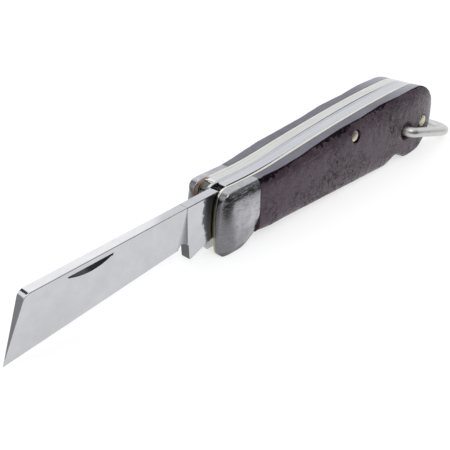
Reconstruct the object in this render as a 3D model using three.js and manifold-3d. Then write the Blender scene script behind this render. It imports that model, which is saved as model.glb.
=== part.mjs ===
// Folding grafting knife: sheepfoot blade locked open, bark lifter folded in the handle, wire bail.
// Millimetres. +X runs from the blade's tip to the butt, +Z is up towards the back of the knife,
// -Y is the side with the nail nick. The knife stands on its edge, bolster and butt at Z = 0.
import * as THREE from "three";
import { mergeVertices } from "three/addons/utils/BufferGeometryUtils.js";
import Module from "manifold-3d";

const wasm = await Module();
wasm.setup();

// ---- driving dimensions, mm ----
const ORIGIN_X = 10.23; // middle of the overall length, measured from the bolster joint
const PIVOT = [-4.9, 7.2]; // the tools' hinge, X and Z
const FRONT_X = -10.95;
const BOLSTER_TOP_Z = 14.45;
const BELLY_SLOPE = -0.0365; // the straight belly, from the waist to the thumb notch
const BELLY_Z0 = 2.0;
const JOINT_TOP_X = 0.5; // the bolster joint leans back this much over its height
const BUTT_X = 70.4;
const BACK_TOP_Z = 18.7;

// layers across the handle, Y from the nail-nick side to the far side
const LINER_OUT = 3.5;
const LINER_IN = 2.7;
const MAIN_SPRING_Y = [-2.62, -0.2];
const MAIN_BLADE_Y = [-2.64, -0.26];
const CENTRE_LINER_Y = [-0.2, 0.5];
const LIFTER_SPRING_Y = [0.8, 2.7];
const LIFTER_Y = [0.86, 2.64];
const SCALE_MAX_Y = 6.9;
const BOLSTER_MAX_Y = 6.25;

const PIVOT_PIN_R = 1.5;
const MID_PIN = [33.1, 13.65];
const MID_PIN_R = 1.35;
const BUTT_PIN = [64.1, 8.1];
const BUTT_PIN_R = 1.6;
const RIVET = [-1.7, 3.7];
const RIVET_R = 0.8;
const STILL_FIT = 0.02; // radial gap round a pin that never turns
const TURN_FIT = 0.05; // radial gap round a pin that a tool turns on
const TANG_R = 4.45;
const SPRING_UNDER_Z = 11.75; // flat underside of both springs over the tangs

const BLADE_TIP = [-59.6, 0.05];
const EDGE_HEEL = [-19.3, 4.4];
const SPINE_FRONT = [-52.6, 12.35];
const SHOULDER = [-8.4, 14.1];
const KICK_X = -17.5;
const EDGE_THICK = 0.25;

const BAIL_PIVOT = [55.7, 7.9];
const BAIL_R = 1.3;
const BAIL_REACH = 24.0;
const BAIL_HALF_WIDTH = 8.35;
const BAIL_STUB_IN = 2.95;
const ROUND = 32; // sides of a pin or hole

// ---- helpers ----
function solidOf(geometry) {
  const g = geometry.clone();
  g.deleteAttribute("normal");
  g.deleteAttribute("uv");
  const merged = mergeVertices(g.index ? g.toNonIndexed() : g, 1e-4);
  return new wasm.Manifold(
    new wasm.Mesh({
      numProp: 3,
      vertProperties: new Float32Array(merged.attributes.position.array),
      triVerts: new Uint32Array(merged.index.array),
    }),
  );
}

function pathOf(points) {
  return new THREE.Shape(points.map(([x, z]) => new THREE.Vector2(x, z)));
}

// A side-view shape pushed through from y0 to y1.
function slab(shape, y0, y1, segments = 10) {
  const g = new THREE.ExtrudeGeometry(shape, {
    depth: y1 - y0,
    bevelEnabled: false,
    curveSegments: segments,
  });
  g.rotateX(Math.PI / 2);
  g.translate(0, y1, 0);
  return solidOf(g);
}

// A plan-view shape, given as X and Y, pushed through the whole height.
function planSlab(shape, z0, z1) {
  const g = new THREE.ExtrudeGeometry(shape, { depth: z1 - z0, bevelEnabled: false, curveSegments: 10 });
  g.translate(0, 0, z0);
  return solidOf(g);
}

// A cross-section, given as Y and height, pushed along X and leaned by a slope about x = 0.
function sectionBar(points, x0, x1, slope, z0) {
  const g = new THREE.ExtrudeGeometry(pathOf(points), { depth: x1 - x0, bevelEnabled: false });
  g.rotateX(Math.PI / 2);
  g.rotateZ(Math.PI / 2);
  g.translate(x0, 0, 0);
  g.rotateY(-Math.atan(slope));
  g.translate(0, 0, z0);
  return solidOf(g);
}

// A round bar across the knife.
function bar([x, z], r, y0, y1, sides = ROUND) {
  const g = new THREE.CylinderGeometry(r, r, y1 - y0, sides);
  g.translate(x, (y0 + y1) / 2, z);
  return solidOf(g);
}

// A round hole whose flats clear a bar of radius r by the gap.
function hole(centre, r, gap, y0 = -12, y1 = 12, sides = ROUND) {
  return bar(centre, (r + gap) / Math.cos(Math.PI / sides), y0, y1, sides);
}

const root = new THREE.Group();
root.name = "grafting_knife";

function addNode(name, solid, colour, roughness, metalness) {
  const m = solid.getMesh();
  const g = new THREE.BufferGeometry();
  const xyz = new Float32Array(m.numVert * 3);
  for (let i = 0; i < m.numVert; i++) {
    xyz.set(m.vertProperties.subarray(i * m.numProp, i * m.numProp + 3), i * 3);
  }
  g.setAttribute("position", new THREE.BufferAttribute(xyz, 3));
  g.setIndex(new THREE.BufferAttribute(m.triVerts, 1));
  g.translate(-ORIGIN_X, 0, 0);
  g.computeVertexNormals();
  const material = new THREE.MeshStandardMaterial({ color: colour, roughness, metalness });
  material.flatShading = true;
  const mesh = new THREE.Mesh(g, material);
  mesh.name = name;
  root.add(mesh);
}

const bellyZ = (x) => BELLY_Z0 + BELLY_SLOPE * x;

// ---- the handle's side-view outline ----
function handleOutline() {
  const s = new THREE.Shape();
  s.moveTo(-9.8, 0);
  s.lineTo(-6.4, 0);
  s.bezierCurveTo(-4.0, 0, -2.4, 0.65, -0.9, 1.25);
  s.quadraticCurveTo(0.8, 1.97, 2.8, bellyZ(2.8));
  s.lineTo(47.4, bellyZ(47.4));
  s.bezierCurveTo(49.0, 0.8, 49.8, 2.5, 52.0, 2.55);
  s.bezierCurveTo(54.4, 2.6, 55.6, 0.05, 57.4, 0.0);
  s.bezierCurveTo(60.8, 0.0, 63.6, 1.0, 65.8, 2.8);
  s.bezierCurveTo(68.5, 4.9, BUTT_X, 6.4, BUTT_X, 9.0);
  s.bezierCurveTo(BUTT_X, 12.9, 65.8, BACK_TOP_Z, 58.6, BACK_TOP_Z);
  s.bezierCurveTo(43.0, BACK_TOP_Z, 24.0, 16.75, 9.0, 15.05);
  s.bezierCurveTo(4.0, 14.45, -1.0, BOLSTER_TOP_Z - 0.1, -6.6, BOLSTER_TOP_Z);
  s.bezierCurveTo(-8.7, BOLSTER_TOP_Z, -9.6, 13.4, -10.1, 11.2);
  s.bezierCurveTo(-10.6, 9.2, FRONT_X, 6.8, FRONT_X, 4.8);
  s.bezierCurveTo(FRONT_X, 1.2, -10.9, 0, -9.8, 0);
  return s;
}

// Everything on the butt side of the bolster joint, or on its front side.
function jointSide(front, gap) {
  const away = front ? -40 : 120;
  const shift = front ? -gap : gap;
  const lean = JOINT_TOP_X / 12.3;
  const low = [-lean * 22 + shift, -20];
  const high = [lean * 28 + shift, 30];
  const points = front
    ? [low, high, [away, 30], [away, -20]]
    : [low, [away, -20], [away, 30], high];
  return slab(pathOf(points), -12, 12);
}

function mirrorY(solid) {
  return solid.mirror([0, 1, 0]);
}

// ---- liners ----
const shoulderHoles = () =>
  hole(PIVOT, PIVOT_PIN_R, STILL_FIT)
    .add(hole(MID_PIN, MID_PIN_R, STILL_FIT))
    .add(hole(BUTT_PIN, BUTT_PIN_R, STILL_FIT));

function outerLiner() {
  return slab(handleOutline(), -LINER_OUT, -LINER_IN)
    .subtract(shoulderHoles())
    .subtract(hole(RIVET, RIVET_R, STILL_FIT))
    .subtract(hole(BAIL_PIVOT, BAIL_R, TURN_FIT));
}

function centreLiner() {
  return slab(handleOutline(), CENTRE_LINER_Y[0], CENTRE_LINER_Y[1]).subtract(shoulderHoles());
}

// ---- scales and bolsters: side outline, plan and cross-section meet ----
function sideSection() {
  const s = [
    [-LINER_OUT, -1],
    [-LINER_OUT, 26],
    [-SCALE_MAX_Y, 26],
    [-SCALE_MAX_Y, 6.4],
    [-6.8, 4.8],
    [-6.55, 3.1],
    [-6.2, 1.7],
    [-5.8, 0.7],
    [-5.4, 0.15],
    [-4.9, -0.2],
    [-3.6, -1],
  ];
  return sectionBar(s, -40, 90, BELLY_SLOPE, BELLY_Z0);
}

// The crown near the back, measured down from the chord of the back's curve.
function crownSection() {
  const s = [
    [-LINER_OUT, -30],
    [-LINER_OUT, 2],
    [-6.0, 2],
    [-6.15, -0.4],
    [-6.6, -2.0],
    [-SCALE_MAX_Y, -4.6],
    [-SCALE_MAX_Y, -30],
  ];
  return sectionBar(s, -40, 90, 0.075, 14.9);
}

function scalePlan() {
  const p = new THREE.Shape();
  p.moveTo(-2, -LINER_OUT);
  p.lineTo(-2, -6.0);
  p.bezierCurveTo(4, -6.5, 8, -SCALE_MAX_Y - 0.1, 14, -SCALE_MAX_Y - 0.1);
  p.lineTo(50, -SCALE_MAX_Y - 0.1);
  p.bezierCurveTo(61, -SCALE_MAX_Y - 0.1, 69.4, -6.6, 71.0, -4.2);
  p.lineTo(71.0, -LINER_OUT);
  p.closePath();
  return planSlab(p, -5, 30);
}

function obverseScale() {
  const dish = new THREE.SphereGeometry(4.2, 24, 14);
  dish.translate(BAIL_PIVOT[0], -SCALE_MAX_Y - 3.2, BAIL_PIVOT[1]);
  return slab(handleOutline(), -SCALE_MAX_Y - 0.5, -LINER_OUT)
    .intersect(sideSection())
    .intersect(crownSection())
    .intersect(scalePlan())
    .intersect(jointSide(false, 0.02))
    .subtract(solidOf(dish))
    .subtract(hole(MID_PIN, MID_PIN_R, STILL_FIT))
    .subtract(hole(BUTT_PIN, BUTT_PIN_R, STILL_FIT))
    .subtract(hole(BAIL_PIVOT, BAIL_R, TURN_FIT));
}

function bolsterPlan() {
  const p = new THREE.Shape();
  p.moveTo(3, -LINER_OUT);
  p.lineTo(FRONT_X - 0.2, -LINER_OUT);
  p.lineTo(FRONT_X - 0.1, -4.3);
  p.bezierCurveTo(FRONT_X + 0.1, -5.5, -9.8, -6.2, -8.2, -BOLSTER_MAX_Y - 0.05);
  p.lineTo(3, -BOLSTER_MAX_Y - 0.05);
  p.closePath();
  return planSlab(p, -5, 30);
}

function obverseBolster() {
  return slab(handleOutline(), -BOLSTER_MAX_Y - 0.5, -LINER_OUT)
    .intersect(sectionBar(bolsterSection(), -40, 30, 0, 0))
    .intersect(sectionBar(waistSection(), -40, 30, 0.6, 1.6))
    .intersect(bolsterPlan())
    .intersect(jointSide(true, 0.02))
    .subtract(hole(PIVOT, PIVOT_PIN_R, STILL_FIT))
    .subtract(hole(RIVET, RIVET_R, STILL_FIT, -4.7, -3));
}

function bolsterSection() {
  return [
    [-LINER_OUT, -1],
    [-LINER_OUT, 20],
    [-5.2, 20],
    [-5.35, 14.4],
    [-5.65, 13.9],
    [-5.95, 13.3],
    [-6.15, 12.5],
    [-BOLSTER_MAX_Y, 11.0],
    [-BOLSTER_MAX_Y, 7.8],
    [-6.15, 5.8],
    [-5.95, 4.0],
    [-5.75, 1.8],
    [-5.5, 0.5],
    [-4.9, -0.1],
    [-3.6, -0.6],
  ];
}

// The bolster's lower edge narrows towards the joint, where the handle's waist lifts it.
function waistSection() {
  return [
    [-LINER_OUT, -0.6],
    [-LINER_OUT, 20],
    [-8.0, 20],
    [-6.45, 5.6],
    [-5.5, 2.5],
    [-4.65, 0.4],
    [-4.1, -0.3],
  ];
}

// ---- back springs: a thin front arm, a deep middle for the pin, a block down the butt ----
function springShape(front) {
  const s = new THREE.Shape();
  s.moveTo(front, SPRING_UNDER_Z);
  s.lineTo(9.0, SPRING_UNDER_Z);
  s.bezierCurveTo(16, SPRING_UNDER_Z, 22, 11.1, 29, 11.0);
  s.lineTo(37, 11.0);
  s.bezierCurveTo(44, 11.2, 49, 12.8, 54, 12.8);
  s.bezierCurveTo(58.6, 12.8, 59.2, 10.5, 59.4, 8.4);
  s.lineTo(59.8, 3.2);
  s.lineTo(72, 3.2);
  s.lineTo(72, 24);
  s.lineTo(front, 24);
  s.closePath();
  return s;
}

function spring(front, [y0, y1]) {
  return slab(springShape(front), y0, y1)
    .intersect(slab(handleOutline(), y0 - 1, y1 + 1))
    .subtract(hole(MID_PIN, MID_PIN_R, STILL_FIT))
    .subtract(hole(BUTT_PIN, BUTT_PIN_R, STILL_FIT));
}

// ---- main blade, drawn open ----
function bladeShape() {
  const s = new THREE.Shape();
  s.moveTo(BLADE_TIP[0], BLADE_TIP[1]);
  s.lineTo(EDGE_HEEL[0], EDGE_HEEL[1]);
  s.quadraticCurveTo(-18.9, 5.5, -18.3, 5.6);
  s.lineTo(KICK_X, 5.5);
  s.lineTo(KICK_X, 2.2);
  s.quadraticCurveTo(KICK_X + 0.05, 1.8, KICK_X + 0.6, 1.85);
  s.lineTo(-13.4, 3.2);
  s.lineTo(-10.2, 4.1);
  s.quadraticCurveTo(-9.2, 4.4, PIVOT[0] - TANG_R * Math.sin(0.95), PIVOT[1] - TANG_R * Math.cos(0.95));
  s.absarc(PIVOT[0], PIVOT[1], TANG_R, -Math.PI / 2 - 0.95, Math.PI / 2, false);
  s.lineTo(SHOULDER[0] + 0.5, PIVOT[1] + TANG_R);
  s.quadraticCurveTo(SHOULDER[0], PIVOT[1] + TANG_R, SHOULDER[0], PIVOT[1] + TANG_R + 0.5);
  s.lineTo(SHOULDER[0], SHOULDER[1] - 0.3);
  s.quadraticCurveTo(SHOULDER[0], SHOULDER[1], SHOULDER[0] - 0.4, SHOULDER[1] - 0.02);
  s.lineTo(SPINE_FRONT[0], SPINE_FRONT[1]);
  s.quadraticCurveTo(-53.7, 12.2, -54.2, 11.0);
  s.closePath();
  return s;
}

// The wedge taken off one side of the blade, from a strip under the spine down to the edge.
function grindCutter(y0, y1) {
  const face = y0;
  const mid = (y0 + y1) / 2;
  const slope = (EDGE_HEEL[1] - BLADE_TIP[1]) / (EDGE_HEEL[0] - BLADE_TIP[0]);
  const sign = Math.sign(face - mid);
  const section = [
    [face + sign * 0.001, 11.2],
    [mid + sign * (EDGE_THICK / 2), -0.2],
    [mid + sign * (EDGE_THICK / 2), -3],
    [face + sign * 3, -3],
    [face + sign * 3, 11.2],
  ];
  if (sign > 0) section.reverse();
  const z0 = BLADE_TIP[1] - slope * BLADE_TIP[0];
  const heel = slab(pathOf([[-70, -10], [-17.65, -10], [-17.65, 4.9], [-17.1, 12.6], [-70, 12.6]]), -9, 9);
  return sectionBar(section, -90, 10, slope, z0).intersect(heel);
}

function nickCutter() {
  const s = new THREE.Shape();
  s.moveTo(-45.6, 11.55);
  s.quadraticCurveTo(-39.0, 9.1, -34.8, 11.95);
  s.closePath();
  return slab(s, MAIN_BLADE_Y[0] - 1, MAIN_BLADE_Y[0] + 0.75);
}

function mainBlade() {
  const [y0, y1] = MAIN_BLADE_Y;
  return slab(bladeShape(), y0, y1)
    .subtract(grindCutter(y0, y1))
    .subtract(grindCutter(y1, y0))
    .subtract(nickCutter())
    .subtract(hole(PIVOT, PIVOT_PIN_R, TURN_FIT));
}

// ---- bark lifter, drawn folded: its back faces the belly ----
function lifterShape() {
  const s = new THREE.Shape();
  s.moveTo(PIVOT[0], PIVOT[1] - TANG_R);
  s.lineTo(2.0, bellyZ(2.0) + 0.55);
  s.lineTo(40.0, bellyZ(40) + 0.55);
  s.bezierCurveTo(46.0, 0.9, 50.6, 2.7, 52.6, 4.4);
  s.bezierCurveTo(54.2, 5.9, 50.0, 7.0, 44.0, 7.2);
  s.lineTo(10.0, 8.2);
  s.quadraticCurveTo(6.2, 8.4, 5.4, 9.6);
  s.quadraticCurveTo(4.9, 10.9, 3.4, 10.9);
  s.lineTo(PIVOT[0] + TANG_R * Math.sin(0.62), PIVOT[1] + TANG_R * Math.cos(0.62));
  s.absarc(PIVOT[0], PIVOT[1], TANG_R, Math.PI / 2 - 0.62, 1.5 * Math.PI, false);
  return s;
}

// The lifter thins along its length, evenly from both faces.
function lifterPlan() {
  const [y0, y1] = LIFTER_Y;
  const mid = (y0 + y1) / 2;
  return planSlab(
    pathOf([[-15, y0], [8, y0], [58, mid - 0.4], [58, mid + 0.4], [8, y1], [-15, y1]]),
    -5,
    30,
  );
}

function barkLifter() {
  return slab(lifterShape(), LIFTER_Y[0], LIFTER_Y[1])
    .intersect(lifterPlan())
    .subtract(hole(PIVOT, PIVOT_PIN_R, TURN_FIT));
}

// ---- bail: one bent wire, its stub ends turned in ----
function bailPath() {
  const drop = BAIL_PIVOT[1] - BAIL_R;
  const run = Math.sqrt(BAIL_REACH * BAIL_REACH - drop * drop);
  const at = (along, y) =>
    new THREE.Vector3(
      BAIL_PIVOT[0] + (run / BAIL_REACH) * along,
      y,
      BAIL_PIVOT[1] - (drop / BAIL_REACH) * along,
    );
  const w = BAIL_HALF_WIDTH;
  const bend = 1.6;
  const round = 0.5523 * w; // handle length that makes a cubic follow a quarter circle
  const path = new THREE.CurvePath();
  const corner = (a, b, c) => path.add(new THREE.QuadraticBezierCurve3(a, b, c));
  const bow = (a, b, c, d) => path.add(new THREE.CubicBezierCurve3(a, b, c, d));
  path.add(new THREE.LineCurve3(at(0, -5.7), at(0, -w + bend)));
  corner(at(0, -w + bend), at(0, -w), at(bend, -w));
  path.add(new THREE.LineCurve3(at(bend, -w), at(BAIL_REACH - w, -w)));
  bow(at(BAIL_REACH - w, -w), at(BAIL_REACH - w + round, -w), at(BAIL_REACH, -round), at(BAIL_REACH, 0));
  bow(at(BAIL_REACH, 0), at(BAIL_REACH, round), at(BAIL_REACH - w + round, w), at(BAIL_REACH - w, w));
  path.add(new THREE.LineCurve3(at(BAIL_REACH - w, w), at(bend, w)));
  corner(at(bend, w), at(0, w), at(0, w - bend));
  path.add(new THREE.LineCurve3(at(0, w - bend), at(0, 5.7)));
  return path;
}

function bail() {
  const section = new THREE.Shape();
  section.absarc(0, 0, BAIL_R * 0.995, 0, 2 * Math.PI, false);
  const tube = new THREE.ExtrudeGeometry(section, {
    steps: 110,
    curveSegments: 7,
    extrudePath: bailPath(),
  });
  return solidOf(tube)
    .add(bar(BAIL_PIVOT, BAIL_R, -6.4, -BAIL_STUB_IN))
    .add(bar(BAIL_PIVOT, BAIL_R, BAIL_STUB_IN, 6.4));
}

// ---- assembly ----
const OBV = 0x6b5f68;
addNode("obverse_scale", obverseScale(), OBV, 0.5, 0);
addNode("reverse_scale", mirrorY(obverseScale()), OBV, 0.5, 0);
addNode("obverse_bolster", obverseBolster(), 0xb9bac0, 0.35, 1);
addNode("reverse_bolster", mirrorY(obverseBolster()), 0xb9bac0, 0.35, 1);
addNode("obverse_liner", outerLiner(), 0xb8ae74, 0.4, 1);
addNode("reverse_liner", mirrorY(outerLiner()), 0xb8ae74, 0.4, 1);
addNode("centre_liner", centreLiner(), 0xb8ae74, 0.4, 1);
addNode("main_spring", spring(-6.3, MAIN_SPRING_Y), 0xc8c9cf, 0.3, 1);
addNode("lifter_spring", spring(-6.8, LIFTER_SPRING_Y), 0xc8c9cf, 0.3, 1);
addNode("main_blade", mainBlade(), 0xd0d1d6, 0.25, 1);
addNode("bark_lifter", barkLifter(), 0xc4c5ca, 0.3, 1);
addNode("pivot_pin", bar(PIVOT, PIVOT_PIN_R, -5.95, 5.95), 0xb9bac0, 0.35, 1);
addNode("mid_pin", bar(MID_PIN, MID_PIN_R, -6.55, 6.55), 0xd6cfae, 0.35, 1);
addNode("butt_pin", bar(BUTT_PIN, BUTT_PIN_R, -6.3, 6.3), 0xd6cfae, 0.35, 1);
addNode("obverse_rivet", bar(RIVET, RIVET_R, -4.65, -LINER_IN), 0xb8ae74, 0.4, 1);
addNode("reverse_rivet", bar(RIVET, RIVET_R, LINER_IN, 4.65), 0xb8ae74, 0.4, 1);
addNode("bail", bail(), 0xd2d3d6, 0.2, 1);

export default root;
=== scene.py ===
"""Looks of the folding grafting knife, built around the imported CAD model.

Shapes are written in millimetres, with X counted from the joint between bolster and cover, as in
the CAD model's source. to_row() brings them into the row frame, in metres. -Y is the side with the
nail nick.
"""
import math

import bmesh
import bpy
import numpy as np
from mathutils import Matrix, Vector, geometry, kdtree, noise


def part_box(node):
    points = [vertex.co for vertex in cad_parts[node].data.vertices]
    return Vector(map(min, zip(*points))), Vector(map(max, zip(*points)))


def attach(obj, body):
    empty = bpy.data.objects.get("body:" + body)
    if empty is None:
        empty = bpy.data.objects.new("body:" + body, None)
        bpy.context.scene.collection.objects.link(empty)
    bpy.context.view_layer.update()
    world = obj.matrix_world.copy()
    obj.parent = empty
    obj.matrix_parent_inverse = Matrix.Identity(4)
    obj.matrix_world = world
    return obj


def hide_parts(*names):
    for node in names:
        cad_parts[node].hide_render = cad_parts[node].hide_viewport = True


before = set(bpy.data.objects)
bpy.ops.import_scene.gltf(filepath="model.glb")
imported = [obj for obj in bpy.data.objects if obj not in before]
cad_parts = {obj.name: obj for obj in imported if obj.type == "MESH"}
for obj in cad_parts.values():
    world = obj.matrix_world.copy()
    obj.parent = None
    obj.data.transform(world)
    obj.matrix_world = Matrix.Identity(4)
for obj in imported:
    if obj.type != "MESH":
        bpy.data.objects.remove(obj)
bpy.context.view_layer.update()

# ---------------------------------------------------------------- sizes, from the frame and in mm
MM = 0.001


def centre_mm(node):
    low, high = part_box(node)
    return (low + high) / 2 / MM


def size_mm(node):
    low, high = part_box(node)
    return (high - low) / MM


PIVOT_X = -4.9  # the tools' hinge, from the bolster joint
ORIGIN_X = PIVOT_X - centre_mm("pivot_pin").x
PIVOT = (PIVOT_X, centre_mm("pivot_pin").z)
MID_PIN = (centre_mm("mid_pin").x + ORIGIN_X, centre_mm("mid_pin").z)
BUTT_PIN = (centre_mm("butt_pin").x + ORIGIN_X, centre_mm("butt_pin").z)
PIVOT_R = size_mm("pivot_pin").x / 2
MID_R = size_mm("mid_pin").x / 2
BUTT_R = size_mm("butt_pin").x / 2
BAIL_PIVOT = (55.7, 7.9)  # where the wire's ends turn in the handle
BAIL_R = 1.3
WIRE_R = 0.995 * BAIL_R  # a hair less than the radius that the bail is placed by, as in the CAD
BAIL_REACH = 24.0  # from the pivot to the middle of the wire at the end of the bow
BAIL_DROP = BAIL_PIVOT[1] - BAIL_R  # the bow lies on the surface that the knife stands on
BAIL_RUN = math.sqrt(BAIL_REACH**2 - BAIL_DROP**2)
BAIL_HALF = size_mm("bail").y / 2 - BAIL_R
BAIL_BEND = 1.6  # centreline radius of the bends at the handle
BAIL_END_Y = 3.0  # where the turned-in ends stop, from the middle

FRONT_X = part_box("obverse_liner")[0].x / MM + ORIGIN_X
BUTT_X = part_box("obverse_liner")[1].x / MM + ORIGIN_X
BACK_TOP_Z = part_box("obverse_liner")[1].z / MM
BOLSTER_TOP_Z = 14.45
LINER_OUT = -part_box("obverse_liner")[0].y / MM
LINER_IN = -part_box("obverse_liner")[1].y / MM
SCALE_Y = -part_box("obverse_scale")[0].y / MM
JOINT_LEAN = 0.5 / 12.3  # the bolster joint leans back over its height
JOINT_Z = 2.0  # the height at which that joint stands at X = 0
BELLY_Z0 = 2.0  # height of the straight part of the belly at X = 0
BELLY_SLOPE = -0.0365
TANG_R = 4.45  # both tools' tangs, round the pivot

SHARP_ANGLE = math.radians(38)


def belly_z(x):
    return BELLY_Z0 + BELLY_SLOPE * x


def to_row(x, y, z):
    return Vector(((x - ORIGIN_X) * MM, y * MM, z * MM))


# ---------------------------------------------------------------- outlines
class Outline:
    """A closed side-view outline, X and Z in mm, walked anticlockwise as seen from -Y."""

    def __init__(self, x, z, step=0.45):
        self.points = [(x, z)]
        self.step = step

    def _curve(self, length, at):
        n = max(2, math.ceil(length / self.step))
        self.points += [at(i / n) for i in range(1, n + 1)]
        return self

    def line(self, x, z):
        x0, z0 = self.points[-1]
        return self._curve(math.hypot(x - x0, z - z0), lambda t: (x0 + (x - x0) * t, z0 + (z - z0) * t))

    def cubic(self, x1, z1, x2, z2, x3, z3):
        p = [Vector(self.points[-1]), Vector((x1, z1)), Vector((x2, z2)), Vector((x3, z3))]
        length = (p[1] - p[0]).length + (p[2] - p[1]).length + (p[3] - p[2]).length

        def at(t):
            s = 1 - t
            return tuple(s**3 * p[0] + 3 * s * s * t * p[1] + 3 * s * t * t * p[2] + t**3 * p[3])

        return self._curve(length, at)

    def quad(self, x1, z1, x2, z2):
        p0, p1, p2 = Vector(self.points[-1]), Vector((x1, z1)), Vector((x2, z2))
        a, b = p0.lerp(p1, 2 / 3), p2.lerp(p1, 2 / 3)
        return self.cubic(a.x, a.y, b.x, b.y, x2, z2)

    def arc(self, centre, r, start, end):
        """An arc from angle start to angle end, in radians."""

        def at(t):
            a = start + (end - start) * t
            return (centre[0] + r * math.cos(a), centre[1] + r * math.sin(a))

        x, z = at(0)
        self.line(x, z)
        return self._curve(abs(end - start) * r, at)

    def close(self):
        """The points as an array, without doubled ones."""
        pts = np.array(self.points)
        keep = [np.hypot(*(pts[i] - pts[i - 1])) > 1e-4 for i in range(len(pts))]
        return pts[keep]


def handle_outline():
    o = Outline(-9.8, 0)
    o.line(-6.4, 0)
    o.cubic(-4.0, 0, -2.4, 0.65, -0.9, 1.25)
    o.quad(0.8, 1.97, 2.8, belly_z(2.8))
    o.line(47.4, belly_z(47.4))
    o.cubic(49.0, 0.8, 49.8, 2.5, 52.0, 2.55)
    o.cubic(54.4, 2.6, 55.6, 0.05, 57.4, 0.0)
    o.cubic(60.8, 0.0, 63.6, 1.0, 65.8, 2.8)
    o.cubic(68.5, 4.9, BUTT_X, 6.4, BUTT_X, 9.0)
    o.cubic(BUTT_X, 12.9, 65.8, BACK_TOP_Z, 58.6, BACK_TOP_Z)
    o.cubic(43.0, BACK_TOP_Z, 24.0, 16.75, 9.0, 15.05)
    o.cubic(4.0, 14.45, -1.0, BOLSTER_TOP_Z - 0.1, -6.6, BOLSTER_TOP_Z)
    o.cubic(-8.7, BOLSTER_TOP_Z, -9.6, 13.4, -10.1, 11.2)
    o.cubic(-10.6, 9.2, FRONT_X, 6.8, FRONT_X, 4.8)
    o.cubic(FRONT_X, 1.2, -10.9, 0, -9.8, 0)
    return o.close()


HANDLE = handle_outline()
MIDDLE_Z = 8.0
UPPER = HANDLE[HANDLE[:, 1] > MIDDLE_Z]
UPPER = UPPER[np.argsort(UPPER[:, 0])]
LOWER = HANDLE[HANDLE[:, 1] <= MIDDLE_Z]
LOWER = LOWER[np.argsort(LOWER[:, 0])]
FRONT = HANDLE[HANDLE[:, 0] < -6.5]
FRONT = FRONT[np.argsort(FRONT[:, 1])]


def back_z(x):
    return np.interp(x, UPPER[:, 0], UPPER[:, 1])


def front_x(z):
    return np.interp(z, FRONT[:, 1], FRONT[:, 0])


def cut_outline(points, keep_butt_side):
    """The handle's outline on one side of the leaning bolster joint, closed along the joint."""
    side = points[:, 0] - JOINT_LEAN * (points[:, 1] - JOINT_Z)
    keep = side > 0 if keep_butt_side else side < 0
    n = len(points)
    first = next(i for i in range(n) if keep[i] and not keep[i - 1])
    run = [points[(first + i) % n] for i in range(n) if keep[(first + i) % n]]

    def on_joint(outside, inside):
        a, b = points[outside % n], points[inside % n]
        sa, sb = side[outside % n], side[inside % n]
        return a + (b - a) * (sa / (sa - sb))

    start = on_joint(first - 1, first)
    end = on_joint(first + len(run), first + len(run) - 1)
    joint = [end + (start - end) * t for t in np.linspace(0, 1, 32)[1:-1]]
    return np.array([start, *run, end, *joint])


# ---------------------------------------------------------------- plates: the knife's flat pieces
def inside_polygon(px, pz, loop):
    inside = np.zeros(len(px), bool)
    x1, z1 = loop[:, 0], loop[:, 1]
    x2, z2 = np.roll(x1, -1), np.roll(z1, -1)
    for a, b, c, d in zip(x1, z1, x2, z2):
        if b == d:
            continue
        crosses = (b > pz) != (d > pz)
        inside ^= crosses & (px < (c - a) * (pz - b) / (d - b) + a)
    return inside


def inward_normals(loop):
    """Unit normals into a loop walked anticlockwise, turned evenly round its corners."""
    edge = np.roll(loop, -1, 0) - loop
    edge /= np.maximum(np.hypot(edge[:, 0], edge[:, 1]), 1e-9)[:, None]
    mean = edge + np.roll(edge, 1, 0)
    mean /= np.maximum(np.hypot(mean[:, 0], mean[:, 1]), 1e-9)[:, None]
    return np.stack([-mean[:, 1], mean[:, 0]], 1)


def circle(centre, r, n=48):
    a = np.linspace(0, 2 * math.pi, n, endpoint=False)
    return np.stack([centre[0] + r * np.cos(a), centre[1] + r * np.sin(a)], 1)


def grid_points(loop, step):
    low, high = loop.min(0), loop.max(0)
    rows = []
    for j, z in enumerate(np.arange(low[1], high[1], step * 0.87)):
        xs = np.arange(low[0] + (j % 2) * step / 2, high[0], step)
        rows.append(np.stack([xs, np.full(len(xs), z)], 1))
    pts = np.concatenate(rows)
    return pts[inside_polygon(pts[:, 0], pts[:, 1], loop)]


def vert_row(bm, points, y):
    return [bm.verts.new(to_row(p[0], across, p[1])) for p, across in zip(points, y)]


class Rim:
    """One closed edge of a plate, with the rings of points that round it off."""

    ANGLES = [math.radians(a) for a in (0, 30, 60, 90)]

    def __init__(self, loop, radius, first):
        """first is where the ring that bounds the faces starts among the faces' points."""
        inward = inward_normals(loop)
        self.radius = radius
        self.first = first
        self.count = len(loop)
        self.rings = [loop + inward * radius[:, None] * (1 - math.cos(a)) for a in self.ANGLES]

    def edges(self):
        return [(self.first + i, self.first + (i + 1) % self.count) for i in range(self.count)]

    def wall(self, bm, near, far, near_ring, far_ring):
        """The rounded wall from the near face's ring of vertices to the far one's."""
        rows = {}
        for sign, face, ring_of_face in ((1, near, near_ring), (-1, far, far_ring)):
            rows[sign] = []
            for ring, a in zip(self.rings[:-1], self.ANGLES[:-1]):
                y = face(ring[:, 0], ring[:, 1]) + sign * self.radius * (1 - math.sin(a))
                rows[sign].append(vert_row(bm, ring, y))
            rows[sign].append(ring_of_face)
        stack = rows[1][::-1] + rows[-1]
        for upper, lower in zip(stack[:-1], stack[1:]):
            for i in range(self.count):
                j = (i + 1) % self.count
                bm.faces.new([upper[i], lower[i], lower[j], upper[j]])


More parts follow.
